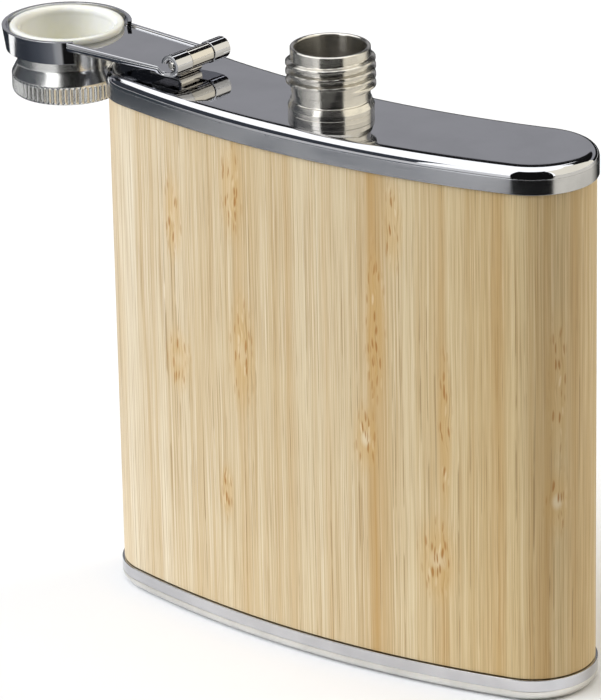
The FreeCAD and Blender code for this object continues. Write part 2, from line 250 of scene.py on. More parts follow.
class Shader:
    """A material and short calls that add nodes to it."""

    def __init__(self, name):
        self.material = bpy.data.materials.new(name)
        self.material.use_nodes = True
        self.tree = self.material.node_tree
        self.tree.nodes.clear()
        self.surface = self.tree.nodes.new("ShaderNodeBsdfPrincipled")
        output = self.tree.nodes.new("ShaderNodeOutputMaterial")
        self.tree.links.new(self.surface.outputs[0], output.inputs[0])

    def feed(self, socket, value):
        if isinstance(value, bpy.types.NodeSocket):
            self.tree.links.new(value, socket)
        elif value is not None:
            socket.default_value = value

    def set(self, **values):
        for name, value in values.items():
            self.feed(self.surface.inputs[name.replace("_", " ")], value)

    def node(self, kind, **settings):
        made = self.tree.nodes.new("ShaderNode" + kind)
        for name, value in settings.items():
            setattr(made, name, value)
        return made

    def math(self, operation, a, b=None, c=None):
        made = self.node("Math", operation=operation)
        for socket, value in zip(made.inputs, (a, b, c)):
            self.feed(socket, value)
        return made.outputs[0]

    def vector(self, operation, a, b=None):
        made = self.node("VectorMath", operation=operation)
        self.feed(made.inputs[0], a)
        self.feed(made.inputs[1], b)
        return made.outputs["Value" if operation == "LENGTH" else "Vector"]

    def place(self):
        return self.node("TexCoord").outputs["Object"]

    def uv(self):
        return self.node("UVMap", uv_map="surface").outputs[0]

    def scaled(self, vector, scale):
        return self.vector("MULTIPLY", vector, scale)

    def noise(self, vector, scale=1.0, detail=2.0, roughness=0.5):
        made = self.node("TexNoise")
        self.feed(made.inputs["Vector"], vector)
        made.inputs["Scale"].default_value = scale
        made.inputs["Detail"].default_value = detail
        made.inputs["Roughness"].default_value = roughness
        return made.outputs[0]

    def range(self, value, low, high, to_low=0.0, to_high=1.0):
        made = self.node("MapRange", clamp=True, interpolation_type="SMOOTHSTEP")
        for socket, item in zip(made.inputs, (value, low, high, to_low, to_high)):
            self.feed(socket, item)
        return made.outputs[0]

    def mix(self, factor, a, b, blend="MIX"):
        made = self.node("Mix", data_type="RGBA", blend_type=blend)
        self.feed(made.inputs[0], factor)
        self.feed(made.inputs[6], a)
        self.feed(made.inputs[7], b)
        return made.outputs[2]

    def bump(self, height, distance, normal=None):
        made = self.node("Bump")
        made.inputs["Distance"].default_value = distance
        self.feed(made.inputs["Height"], height)
        self.feed(made.inputs["Normal"], normal)
        return made.outputs[0]

    def separate(self, vector):
        made = self.node("SeparateXYZ")
        self.feed(made.inputs[0], vector)
        return made.outputs


def rgb(red, green, blue):
    """Linear colour from screen values of 0 to 255."""
    def linear(v):
        v /= 255
        return v / 12.92 if v <= 0.04045 else ((v + 0.055) / 1.055) ** 2.4
    return (linear(red), linear(green), linear(blue), 1.0)


# ---------------------------------------------------------------- materials

def metal(s, cloud, fine, colour, dull, low, high, fine_share=0.5, patch=0.3, spread=0.2, **others):
    """Metal of uneven tone and polish: cloud mixes in a duller colour, and with fine sets the roughness."""
    tint = s.mix(s.range(cloud, patch, 0.7), colour, tuple(c * dull for c in colour[:3]) + (1.0,))
    mixed = s.math("MULTIPLY_ADD", fine, fine_share, s.math("MULTIPLY", cloud, 1 - fine_share))
    rough = s.range(mixed, 0.5 - spread, 0.5 + spread, low, high)
    s.set(Base_Color=tint, Metallic=1.0, Roughness=rough, **others)
    return s.material


def steel(name, colour, low, high, wave=0.0, scratch=0.0, scale=900.0):
    """Polished steel: uneven polish, faint waves in the sheet and hairline scratches."""
    s = Shader(name)
    spot = s.place()
    cloud = s.noise(spot, scale=scale * 0.12, detail=4)
    fine = s.noise(s.scaled(spot, (scale, scale * 6, scale)), detail=3)
    normal = s.bump(s.noise(spot, scale=scale * 0.05, detail=1), wave * MM) if wave else None
    if scratch:
        normal = s.bump(fine, scratch * MM, normal)
    return metal(s, cloud, fine, colour, 0.93, low, high, 0.35, 0.35, 0.15, Normal=normal)


def brushed_steel(name, colour, low, high, depth):
    """Steel with fine lines running round the body."""
    s = Shader(name)
    lines = s.noise(s.scaled(s.uv(), (120.0, 14000.0, 0.0)), detail=3, roughness=0.6)
    cloud = s.noise(s.place(), scale=140.0, detail=4)
    return metal(s, cloud, lines, colour, 0.86, low, high, Normal=s.bump(lines, depth * MM))


def turned_steel(name, colour, low, high, depth):
    """Steel turned on a lathe: fine grooves round it spread its reflections up and down."""
    s = Shader(name)
    spot = s.place()
    grooves = s.noise(s.scaled(spot, (60.0, 60.0, 5000.0)), detail=3, roughness=0.7)
    cloud = s.noise(spot, scale=420.0, detail=4)
    return metal(s, cloud, grooves, colour, 0.92, low, high, spread=0.15, Normal=s.bump(grooves, depth * MM),
                 Anisotropic=0.95, Anisotropic_Rotation=0.25,
                 Tangent=s.node("Tangent", direction_type="RADIAL", axis="Z").outputs[0])


# node marks of the bamboo, in mm: distance round from the middle of the front, height, half width and half
# height; then how pale the mark's heart is
KNOTS = [
    (-26.5, 46.5, 3.4, 6.5, 0.3), (-11.8, 51.5, 3.2, 12.0, 0.3), (-16.0, 25.5, 1.8, 6.0, 0.1),
    (12.9, 42.0, 2.6, 7.0, 0.9), (15.0, 62.0, 2.4, 16.0, 0.0), (26.0, 23.0, 4.2, 9.0, 0.5),
    (27.5, 46.0, 1.5, 16.0, 0.0), (46.6, 35.5, 2.6, 7.0, 0.9), (46.8, 56.0, 2.0, 15.0, 0.0),
    (-27.0, 72.0, 2.6, 9.0, 0.1), (-13.5, 80.0, 2.8, 10.0, 0.1), (18.5, 80.0, 2.2, 9.0, 0.1),
    (-62.0, 38.0, 3.0, 8.0, 0.4), (-78.0, 60.0, 3.2, 9.0, 0.3), (-92.0, 28.0, 2.8, 8.0, 0.6),
    (66.0, 64.0, 3.2, 9.0, 0.4), (84.0, 30.0, 3.0, 8.0, 0.5), (-104.0, 70.0, 2.6, 8.0, 0.2),
]
# darker streaks that run the full height: distance round and half width in mm, depth of tone
STREAKS = [
    (14.5, 3.0, 0.75), (27.0, 2.4, 0.35), (36.5, 2.0, 0.3), (43.5, 3.4, 0.6), (-12.0, 2.6, 0.3),
    (5.5, 1.4, 0.35), (-2.0, 1.2, 0.25), (49.5, 2.0, 0.35),
]
STREAK_TONE = rgb(192, 150, 82)
# noises of the grain: scale across and along it, per mm; octaves; roughness
GRAIN = {
    "slat": (0.11, 0.0012, 1, 0.5), "band": (0.5, 0.004, 2, 0.5), "strand": (1.9, 0.008, 2, 0.6),
    "fibre": (5.2, 0.022, 2, 0.6), "hair": (11.0, 0.06, 2, 0.6), "vein": (3.1, 0.012, 1, 0.5),
    "speck": (0.6, 0.09, 2, 0.5),
}
SLAT_TONES = rgb(223, 205, 167), rgb(212, 189, 146)
# tones laid over the slats: noise, where in it the tone starts and is full, its share, its colour
TONES = [
    ("band", 0.42, 0.72, 0.6, rgb(200, 171, 121)), ("band", 0.45, 0.25, 0.4, rgb(229, 213, 178)),
    ("strand", 0.52, 0.76, 0.42, rgb(190, 156, 104)), ("strand", 0.46, 0.24, 0.38, rgb(233, 219, 186)),
    ("fibre", 0.5, 0.72, 0.66, rgb(172, 138, 88)), ("fibre", 0.48, 0.28, 0.6, rgb(242, 230, 202)),
    ("hair", 0.52, 0.72, 0.6, rgb(160, 126, 78)),
]
# slow changes of tone round the sheet, partly painted light, in mm: where each starts and is full, then
# starts to fade and is gone
TONE_SHADE_AND_SHEEN_DRIFTS = [
    (4.0, 40.0, 64.0, 100.0, (0.95, 0.9, 0.76, 1.0)),          # deeper honey tone, partly painted shade and warm light on the right-hand side
    (-8.0, -46.0, -64.0, -100.0, (1.07, 1.12, 1.26, 1.0)),     # paler: painted sheen of the lacquer on the left-hand side
]
VEIN_TONE = rgb(152, 118, 66)
NODE_TONE = rgb(208, 166, 94)
HEART_TONE = rgb(226, 208, 170)
# colour of the painted glints, pale highlight flecks at the nodes
PAINTED_GLINT_TONE = rgb(240, 224, 186)
DASH_TONE = rgb(172, 118, 48)
BUNDLE_SCALE = (2.0, 0.34, 0.0)     # fibre bundles cut across at a node, per mm


def knots(s, face):
    """Two masks over the sheet: how near each node mark is, and its pale heart."""
    node, heart = 0.0, 0.0
    for around, height, half_w, half_h, pale in KNOTS:
        away = s.vector("SUBTRACT", face, (around, height, 0.0))
        reach = s.vector("LENGTH", s.scaled(away, (1 / half_w, 1 / half_h, 0.0)))
        node = s.math("MAXIMUM", node, s.range(reach, 1.15, 0.3))
        if pale > 0:
            reach = s.vector("LENGTH", s.scaled(away, (2.2 / half_w, 4.0 / half_h, 0.0)))
            heart = s.math("MAXIMUM", heart, s.range(reach, 1.1, 0.2, 0.0, pale))
    return node, heart


def leaning(s, face, node):
    """The sheet's coordinates, moved so that fibres lean a little everywhere and cup near each node."""
    lean = s.noise(s.scaled(face, (0.16, 0.03, 0.0)))
    cup = s.noise(s.scaled(face, (0.5, 0.16, 0.0)), detail=1)
    shift = s.math("MULTIPLY_ADD", s.math("SUBTRACT", cup, 0.5), s.math("MULTIPLY", node, 1.3),
                   s.math("MULTIPLY", s.math("SUBTRACT", lean, 0.5), 0.5))
    offset = s.node("CombineXYZ")
    s.feed(offset.inputs[0], shift)
    return s.vector("ADD", face, offset.outputs[0])


def bamboo():
    """Bamboo cut along the grain: slats of uneven tone, fine fibres and node marks, under a thin lacquer;
    with painted glints at the nodes, a painted sheen towards the left and painted shade towards the right.
    """
    s = Shader("bamboo")
    face = s.scaled(s.uv(), (1 / MM, 1 / MM, 0.0))
    node, heart = knots(s, face)
    grain = leaning(s, face, node)
    noise = {name: s.noise(s.scaled(grain, (across, along, 0.0)), detail=detail, roughness=roughness)
             for name, (across, along, detail, roughness) in GRAIN.items()}

    tone = s.mix(s.range(noise["slat"], 0.36, 0.64), *SLAT_TONES)
    for name, start, full, share, colour in TONES:
        tone = s.mix(s.range(noise[name], start, full, 0.0, share), tone, colour)

    around = s.separate(grain)[0]
    streak = 0.0
    for middle, half_w, depth in STREAKS:
        gap = s.math("ABSOLUTE", s.math("SUBTRACT", around, middle))
        streak = s.math("MAXIMUM", streak, s.range(gap, half_w, 0.0, 0.0, depth))
    streak = s.math("MULTIPLY", streak, s.range(noise["band"], 0.3, 0.6, 0.35, 1.0))
    tone = s.mix(streak, tone, STREAK_TONE)
    # painted light: the paler drift paints the lacquer's sheen on the left, and the deeper one is partly
    # honey tone and partly painted shade on the right
    for start, full, fade, gone, colour in TONE_SHADE_AND_SHEEN_DRIFTS:
        share = s.math("MULTIPLY", s.range(around, start, full), s.range(around, gone, fade))
        tone = s.mix(share, tone, s.mix(1.0, tone, colour, "MULTIPLY"))

    bundle = s.node("TexVoronoi")
    s.feed(bundle.inputs["Vector"], s.scaled(grain, BUNDLE_SCALE))
    bundle.inputs["Scale"].default_value = 1.0
    core = s.range(bundle.outputs["Distance"], 0.46, 0.2)
    chance = s.separate(bundle.outputs["Color"])[0]
    marks = s.math("MULTIPLY", s.math("MULTIPLY", core, s.range(chance, 0.3, 0.5)), node)
    # painted glints: pale highlight flecks painted into the colour at the nodes
    painted_glint = s.math("MULTIPLY", s.math("MULTIPLY", core, s.range(chance, 0.3, 0.1)), node)
    thin = s.math("MULTIPLY", s.range(noise["vein"], 0.62, 0.68), s.range(noise["speck"], 0.42, 0.56))
    for share, amount, colour in ((thin, 0.62, VEIN_TONE), (node, 0.38, NODE_TONE), (heart, 1.0, HEART_TONE),
                                  (painted_glint, 0.4, PAINTED_GLINT_TONE), (marks, 0.92, DASH_TONE)):
        tone = s.mix(s.math("MULTIPLY", share, amount), tone, colour)

    height = s.math("MULTIPLY_ADD", noise["fibre"], 0.6, s.math("MULTIPLY", noise["strand"], 0.4))
    height = s.math("SUBTRACT", height, s.math("MULTIPLY", marks, 0.4))
    s.set(Base_Color=tone, Roughness=s.range(noise["fibre"], 0.2, 0.8, 0.5, 0.64),
          Normal=s.bump(height, 0.03 * MM), Coat_Weight=0.1, Coat_Roughness=0.45, Specular_IOR_Level=0.4)
    return s.material


def cream_plastic():
    s = Shader("cream_plastic")
    cloud = s.noise(s.place(), scale=260.0, detail=3)
    tint = s.mix(s.range(cloud, 0.3, 0.7), rgb(250, 249, 240), rgb(246, 245, 230))
    rough = s.range(s.noise(s.place(), scale=900.0, detail=3), 0.3, 0.7, 0.16, 0.27)
    s.set(Base_Color=tint, Roughness=rough, Normal=s.bump(cloud, 0.012 * MM), Subsurface_Weight=0.35,
          Subsurface_Radius=(1.2, 1.1, 0.7), Subsurface_Scale=1.0 * MM, Coat_Weight=0.25, Coat_Roughness=0.1)
    return s.material


def plain_polymer(name, light, dark, rough):
    """Soft unpolished polymer, with a faint mottle and grain."""
    s = Shader(name)
    cloud = s.noise(s.place(), scale=500.0, detail=4)
    s.set(Base_Color=s.mix(s.range(cloud, 0.3, 0.7), light, dark), Normal=s.bump(cloud, 0.02 * MM),
          Roughness=s.range(cloud, 0.2, 0.8, rough - 0.07, rough + 0.07))
    return s.material


STEEL = rgb(205, 206, 210)
WARM_STEEL = rgb(214, 211, 205)
LOOK = {
    "mirror_steel": steel("mirror_steel", STEEL, 0.03, 0.07, wave=0.004),
    "polished_steel": brushed_steel("polished_steel", STEEL, 0.1, 0.19, 0.0012),
    "satin_steel": brushed_steel("satin_steel", rgb(226, 224, 218), 0.26, 0.42, 0.004),
    "neck_steel": turned_steel("neck_steel", rgb(222, 219, 212), 0.19, 0.27, 0.008),
    "hinge_steel": steel("hinge_steel", WARM_STEEL, 0.05, 0.12, scratch=0.001),
    "arm_steel": steel("arm_steel", STEEL, 0.03, 0.08, wave=0.003),
    "cap_chrome": steel("cap_chrome", rgb(240, 240, 238), 0.16, 0.26, scratch=0.001),
    "bamboo": bamboo(),
    "adhesive": plain_polymer("adhesive", rgb(206, 196, 160), rgb(186, 172, 132), 0.6),
    "washer_plastic": plain_polymer("washer_plastic", rgb(232, 232, 222), rgb(220, 220, 206), 0.45),
    "cream_plastic": cream_plastic(),
    "seal_rubber": plain_polymer("seal_rubber", rgb(206, 202, 176), rgb(190, 184, 154), 0.6),
}

# ---------------------------------------------------------------- tank, bands, lid, base, jacket

LID_ROUND = 1.55 * MM
MARGIN = 2.4 * MM          # the lid's flat falls away a little over this last stretch
MARGIN_DROP = 0.12 * MM
MARGIN_R = 30 * MM
BASE_ROUND = 1.75 * MM
DISH_T = 0.6 * MM
HOLE_R = 6.42 * MM
HAIR = 0.07 * MM          # edge break of sheet edges
FILLET_STEPS = 14


def tank_wall():
    """Wall with a stepped-out rim at each end."""
    out, inn = RIM_OUT, RIM_OUT - WALL
    low_step, high_step = WRAP_LOW - WRAP_GAP, WRAP_HIGH + WRAP_GAP
    section = rounded([
        (out, BASE_HIGH, HAIR), (out, low_step, HAIR * 1.5), (SHELL_OUT, low_step, 0),
        (SHELL_OUT, high_step, 0), (out, high_step, HAIR * 1.5), (out, LID_LOW, HAIR), (inn, LID_LOW, 0),
        (inn, high_step + WALL, 0), (SHELL_OUT - WALL, high_step + WALL, 0),
        (SHELL_OUT - WALL, low_step - WALL, 0), (inn, low_step - WALL, 0), (inn, BASE_HIGH, 0),
    ], 4)
    rows = round_body(section)
    verts, faces = skin(rows, close_rows=True)
    return verts, faces, girth_uvs(rows)


def towards_axis(line, radius, share):
    """Points part of the way from an outline in to a circle about the neck."""
    inner = line / np.linalg.norm(line, axis=1)[:, None] * radius
    return line * (1 - share) + inner * share


def lid():
    """Dished lid with a rolled edge and the neck's hole."""
    under = LID_TOP - DISH_T
    section = rounded([
        (RIM_OUT - 2 * MARGIN, LID_TOP, 0), (RIM_OUT - MARGIN, LID_TOP, MARGIN_R),
        (RIM_OUT, LID_TOP - MARGIN_DROP, LID_ROUND - MARGIN_DROP / 2), (RIM_OUT, LID_LOW, HAIR),
        (RIM_OUT - DISH_T, LID_LOW, HAIR), (RIM_OUT - DISH_T, under, LID_ROUND - DISH_T),
        (RIM_OUT - 2 * MARGIN, under, 0),
    ], FILLET_STEPS)
    rows = round_body(section)
    edge_top, edge_under = rows[0][:, :2], rows[-1][:, :2]
    shares = np.linspace(0, 1, 9)[1:]
    top = [np.column_stack([towards_axis(edge_top, HOLE_R, t), np.full(len(edge_top), LID_TOP)])
           for t in shares[::-1]]
    bottom = [np.column_stack([towards_axis(edge_under, HOLE_R, t), np.full(len(edge_under), under)])
              for t in shares]
    rows = top + rows + bottom
    verts, faces = skin(rows, close_rows=True)
    return verts, faces, girth_uvs(rows)


def base():
    """Dished base with a rounded edge."""
    section = rounded([
        (RIM_OUT - BASE_ROUND * 1.4, 0, 0), (RIM_OUT, 0, BASE_ROUND), (RIM_OUT, BASE_HIGH, HAIR),
        (RIM_OUT - DISH_T, BASE_HIGH, HAIR), (RIM_OUT - DISH_T, DISH_T, BASE_ROUND - DISH_T),
        (RIM_OUT - BASE_ROUND * 1.4, DISH_T, 0),
    ], FILLET_STEPS)
    rows = round_body(section)
    verts, faces = skin(rows, caps=(0, -1))
    return verts, faces, girth_uvs(rows)


def jacket():
    """The bamboo sheet, its two edges butted at the middle of the back."""
    section = rounded([
        (0, WRAP_LOW, 0.12 * MM), (0, WRAP_HIGH, 0.12 * MM), (-WRAP_T, WRAP_HIGH, 0), (-WRAP_T, WRAP_LOW, 0),
    ], 4)
    around = girth()
    rows, uvs = [], []
    for offset, z in section:
        line = outline(offset)
        line = np.concatenate([line, line[:1]])
        line[0, 0], line[-1, 0] = -SEAM / 2, SEAM / 2
        rows.append(np.column_stack([line, np.full(len(line), z)]))
        uvs.append(np.column_stack([around, np.full(len(line), z)]))
    verts, faces = skin(rows, close_rows=True, close_columns=False, caps=(0, -1))
    return verts, faces, np.concatenate(uvs)


# ---------------------------------------------------------------- neck

# heights are above the lid
NECK_BORE_R = 5.8 * MM
LIP_R = 6.54 * MM
GROOVE_R = 6.42 * MM
GROOVE_TOP = 4.1 * MM
GROOVE_LOW = 2.6 * MM
SHOULDER_R = 6.6 * MM
NECK_COLLAR_R = 7.07 * MM
NECK_COLLAR_H = 1.6 * MM
LINE_R = 7.0 * MM          # fine line cut round the collar
LINE_H = 0.8 * MM
LINE_HALF = 0.06 * MM
TUBE_FLANGE_R = 8.2 * MM   # turned out under the lid
TUBE_FLANGE_T = 0.6 * MM
PITCH = 1.5 * MM
THREAD_ROOT_R = 6.55 * MM
THREAD_START = 4.95 * MM
THREAD_TURNS = 3.15
THREAD_LIFT = 0.8 * MM
RIDGE_TOP = 0.17 * MM      # half width of the crest's crown
RIDGE_FOOT = 0.5 * MM      # half width at the root
RUN_OUT = 0.16             # share of a turn over which a thread fades
NECK_SEGMENTS = 192


def ridge(distance, turns, length):
    """Height, 0 to 1, of a rounded thread at a distance from its middle and at a number of turns along it."""
    flank = np.clip((RIDGE_FOOT - np.abs(distance)) / (RIDGE_FOOT - RIDGE_TOP), 0, 1)
    fade = np.clip(np.minimum(turns, length - turns) / RUN_OUT + 0.5, 0, 1)
    return (0.5 - 0.5 * np.cos(math.pi * flank)) * (0.5 - 0.5 * np.cos(math.pi * fade))


def neck_shape(r, z, a):
    """Adds the right-hand outer thread to the rows of the neck's outside."""
    radius = np.full(len(a), r)
    if r < THREAD_ROOT_R - 0.05 * MM:
        return radius
    start = LID_TOP + THREAD_START
    turn = np.round((z - start) / PITCH - a / (2 * math.pi))
    along = a / (2 * math.pi) + turn
    lift = ridge(z - start - PITCH * along, along, THREAD_TURNS)
    return np.maximum(radius, THREAD_ROOT_R + THREAD_LIFT * lift) if z > start - PITCH else radius


def neck():
    """Tube with a plain lip, a rolled thread, a groove and a collar, and a flange under the lid."""
    top, foot, low = NECK_TOP, LID_TOP, LID_TOP - DISH_T
    profile = rounded([
        (NECK_BORE_R, top, 0.3 * MM), (LIP_R, top, 0.22 * MM),
        (LIP_R, foot + GROOVE_TOP + 0.1 * MM, 0.12 * MM),
        (GROOVE_R, foot + GROOVE_TOP, 0), (GROOVE_R, foot + GROOVE_LOW, 0.25 * MM),
        (SHOULDER_R, foot + GROOVE_LOW, 0.1 * MM), (NECK_COLLAR_R, foot + NECK_COLLAR_H, 0.3 * MM),
        (NECK_COLLAR_R, foot + LINE_H + LINE_HALF, 0), (LINE_R, foot + LINE_H, 0),
        (NECK_COLLAR_R, foot + LINE_H - LINE_HALF, 0), (NECK_COLLAR_R, foot, 0), (HOLE_R, foot, 0),
        (HOLE_R, low, 0), (TUBE_FLANGE_R, low, 0.1 * MM), (TUBE_FLANGE_R, low - TUBE_FLANGE_T, 0.1 * MM),
        (NECK_BORE_R, low - TUBE_FLANGE_T, 0.4 * MM),
    ])
    profile = dense(profile, 0.06 * MM, foot + GROOVE_TOP + 0.05 * MM, top)
    return lathe(profile, NECK_SEGMENTS, neck_shape)


# ---------------------------------------------------------------- hinge and arm

SHEET = 0.75 * MM
PIN_R = 1.05 * MM
PIN_SHY = 0.25 * MM        # the pin's ends sit inside the outer knuckles
PIN_NOSE = 0.5 * MM
KNUCKLE_IN = 1.1 * MM
KNUCKLE_OUT = KNUCKLE_IN + SHEET
BARREL = 13.0 * MM
BRACKET_HALF = 2.6 * MM
BRACKET_SHEET = 0.65 * MM
BRACKET_BEND = 0.6 * MM
BRACKET_END = math.radians(-48)
FOOT_LENGTH = 8.0 * MM
TAB_IN = 2.75 * MM
NOTCH_U = 2.4 * MM
CURL_END = math.radians(262)
ARM_HALF_IN = 6.5 * MM
ARM_HALF_OUT = 8.05 * MM
EYE_HOLE = 8.75 * MM
EYE_RIM = 10.2 * MM
COLLAR_R = 11.0 * MM
COLLAR_LOW_R = 10.4 * MM
COLLAR_T = 0.7 * MM
COLLAR_H = 4.1 * MM
COLLAR_OPEN = math.radians(39)
FLANGE_DROP = 0.5 * MM
REAR_FLANGE_TOP = -0.75 * MM
FLANGE_START = 1.4 * MM    # distance from the pin at which the side flanges begin to rise
FLANGE_RISE = 1.1 * MM     # and the length over which they do
BEND_OUT = 0.95 * MM
BEND_IN = 0.3 * MM


def strip(path, low, high, thickness, round_off=HAIR):
    """A bent strip of sheet: path lies in the XZ plane, and the strip runs from low to high along Y."""
    half = thickness / 2
    section = rounded([(low, -half, round_off), (high, -half, round_off), (high, half, round_off),
                       (low, half, round_off)], 3)
    path = np.asarray(path)
    heading = np.gradient(path, axis=0)
    heading /= np.linalg.norm(heading, axis=1)[:, None]
    rows = []
    for (x, z), (hx, hz) in zip(path, heading):
        rows.append([(x - hz * n, y, z + hx * n) for y, n in section])
    return skin(rows, caps=(0, -1))


def curl(radius, start, stop, steps=56):
    """Path round the pin: 0 is under it, a quarter turn on is its side away from the cap."""
    a = np.linspace(start, stop, steps)
    return np.stack([-radius * np.sin(a), -radius * np.cos(a)], 1)


def knuckle(side):
    """One of the arm's two curled knuckles."""
    path = curl(KNUCKLE_IN + SHEET / 2, 0, CURL_END)
    ends = sorted((side * TAB_IN, side * BARREL / 2))
    return strip(path, *ends, SHEET)


def bracket():
    """Foot on the lid, leg, and the middle knuckle wrapped tight on the pin."""
    middle = PIN_R + BRACKET_SHEET / 2
    low = LID_TOP - PIN.z + BRACKET_SHEET / 2
    bend = BRACKET_BEND
    foot = [(x, low) for x in np.linspace(FOOT_LENGTH, middle + bend, 12)]
    turn = [(middle + bend - bend * math.sin(a), low + bend - bend * math.cos(a))
            for a in np.linspace(0.15, QUARTER, 8)]
    leg = [(middle, z) for z in np.linspace(low + bend, 0, 8)[1:-1]]
    wrap = curl(middle, 3 * QUARTER, BRACKET_END)
    path = np.concatenate([foot, turn, leg, wrap])
    return strip(path, -BRACKET_HALF, BRACKET_HALF, BRACKET_SHEET)


def pin():
    """Pin with lightly domed ends."""
    end = BARREL / 2 - PIN_SHY
    profile = rounded([
        (0, -end, 0), (PIN_NOSE, -end, 0.2 * MM), (PIN_R, -end + PIN_NOSE, 0.3 * MM),
        (PIN_R, end - PIN_NOSE, 0.3 * MM), (PIN_NOSE, end, 0.2 * MM), (0, end, 0),
    ])
    verts, faces = lathe(profile, 48)
    return verts[:, [0, 2, 1]], faces


def arm_columns():
    """(ray angle from the eye, outer radius, slant, flange share) for each column of the arm's skin."""
    corner = math.asin(ARM_HALF_OUT / COLLAR_R)
    slope = (ARM_HALF_OUT - ARM_HALF_IN) / (ARM_LENGTH - COLLAR_R * math.cos(corner))
    notch = math.atan2(TAB_IN, ARM_LENGTH)
    end_corner = math.atan2(ARM_HALF_IN, ARM_LENGTH)
    half = []
    for a in np.linspace(0, notch, 5):
        half.append((a, (ARM_LENGTH - NOTCH_U) / math.cos(a), math.cos(a), 0.0))
    for a in np.linspace(notch, end_corner, 7):
        half.append((a, ARM_LENGTH / math.cos(a), math.cos(a), 0.0))
    near_hinge, rest = np.linspace(1.0 * MM, 3.0 * MM, 10), np.linspace(3.0 * MM, ARM_LENGTH, 28)
    for u in np.concatenate([near_hinge, rest[1:]]):
        v = ARM_HALF_IN + slope * u
        a = math.atan2(v, ARM_LENGTH - u)
        if a >= corner:
            break
        share = min(1.0, max(0.0, (u - FLANGE_START) / FLANGE_RISE))
        half.append((a, math.hypot(v, ARM_LENGTH - u), math.sin(a + math.atan(slope)), share))
    last = corner - 1e-3
    half.append((last, ARM_HALF_OUT / math.sin(last), math.sin(corner), 1.0))
    half += [(a, EYE_RIM, 1.0, 0.0) for a in np.linspace(corner, math.pi, 64)[:-1]]
    mirrored = [(-a, r, c, s) for a, r, c, s in reversed(half[1:])]
    return half + [(math.pi, EYE_RIM, 1.0, 0.0)] + mirrored


def arm_profile(share, top):
    """(distance in from the edge, height) points over the edge: plain, or turned up into a flange."""
    web_top, web_low = -KNUCKLE_IN, -KNUCKLE_OUT
    quarter = np.linspace(0, QUARTER, 6)
    turned = [(SHEET + BEND_IN * (1 - math.sin(a)), web_top + BEND_IN * (1 - math.cos(a))) for a in quarter]
    turned += [(SHEET, top - HAIR), (SHEET - HAIR, top), (HAIR, top), (0, top - HAIR)]
    turned += [(BEND_OUT * (1 - math.cos(a)), web_low + BEND_OUT * (1 - math.sin(a))) for a in quarter]
    edge = 0.5 * HAIR
    plain = [(SHEET + BEND_IN * (1 - math.sin(a)), web_top) for a in quarter]
    plain += [(SHEET, web_top), (SHEET - HAIR, web_top), (edge, web_top), (0, web_top - edge)]
    plain += [(edge * (1 - math.cos(a)), web_low + edge * (1 - math.sin(a))) for a in quarter]
    share = share * share * (3 - 2 * share)
    return [(p[0] + (q[0] - p[0]) * share, p[1] + (q[1] - p[1]) * share) for p, q in zip(plain, turned)]


def arm():
    """Web, eye and side flanges in one skin of rays from the eye's centre."""
    columns = []
    for angle, radius, slant, share in arm_columns():
        u = ARM_LENGTH - radius * math.cos(angle)
        top = -FLANGE_DROP * max(0.0, 1 - u / ARM_LENGTH)
        if angle < 0:
            top = min(top, REAR_FLANGE_TOP)
        edge = [(radius - inset / slant, height) for inset, height in arm_profile(share, top)]
        hole = [(EYE_HOLE, -KNUCKLE_OUT + HAIR), (EYE_HOLE, -KNUCKLE_IN - HAIR),
                (EYE_HOLE + HAIR, -KNUCKLE_IN)]
        loop = hole + edge + [(EYE_HOLE + HAIR, -KNUCKLE_OUT)]
        loop = [(max(r, EYE_HOLE + (HAIR if 2 < i else 0)), h) for i, (r, h) in enumerate(loop)]
        columns.append([(ARM_LENGTH - r * math.cos(angle), r * math.sin(angle), h) for r, h in loop])
    rows = [list(row) for row in zip(*columns)]
    return skin(rows, close_rows=True)


def collar():
    """Band round the cap with its gap towards the hinge."""
    section = rounded([
        (COLLAR_R, 0, HAIR), (COLLAR_R - COLLAR_T, 0, HAIR), (COLLAR_LOW_R - COLLAR_T, -COLLAR_H, HAIR),
        (COLLAR_LOW_R, -COLLAR_H, HAIR),
    ], 4)
    rows = []
    for r, z in section:
        line = arc((0, 0), r, COLLAR_OPEN - math.pi, math.pi - COLLAR_OPEN, 160)
        rows.append(np.column_stack([line, np.full(len(line), z)]))
    return skin(rows, close_rows=True, close_columns=False, caps=(0, -1))


# ---------------------------------------------------------------- cap

LINER_FLANGE_R = 9.69 * MM
LINER_FLANGE_T = 0.85 * MM
LINER_R = 8.2 * MM
LINER_GAP = 0.02 * MM
LINER_LIP_ROUND = 1.05 * MM
THROAT_R = 7.97 * MM
THROAT_DEPTH = 1.4 * MM
TAPER_DEPTH = 5.2 * MM
BORE_R = 7.55 * MM
SEAL_DEPTH = 10.3 * MM
SEAL_T = 0.7 * MM
LINER_DEPTH = 11.3 * MM
CAP_NECK_R = 8.55 * MM
CAP_RIM_R = 9.6 * MM
COVE_DEPTH = 6.35 * MM
COVE_ROUND = 1.6 * MM
RIM_DEPTH = 8.35 * MM
DISC_R = 5.6 * MM          # the cap's end is sunk a little inside this
DISC_SLOPE = 0.4 * MM
DISC_SUNK = 0.12 * MM
WASHER_IN = 8.62 * MM
WASHER_OUT = 9.6 * MM
WASHER_T = 0.2 * MM
WASHER_GAP = 0.02 * MM
CAP_DEPTH = CAP.z - CAP_LOW
TEETH = 64
TOOTH_DEPTH = 0.35 * MM
TOOTH_START = 8.55 * MM    # depth at which the teeth begin
TOOTH_FADE = 0.4 * MM      # and over which they reach their full depth
TOOTH_SAMPLES = 10
CAP_THREAD_DEPTH = 5.98 * MM
CAP_THREAD_ANGLE = math.radians(203.8)
CAP_THREAD_TURNS = 1.0
CAP_THREAD_LIFT = 0.58 * MM
CAP_THREAD_SLIM = 1.2      # how much narrower than the neck's the ridge is


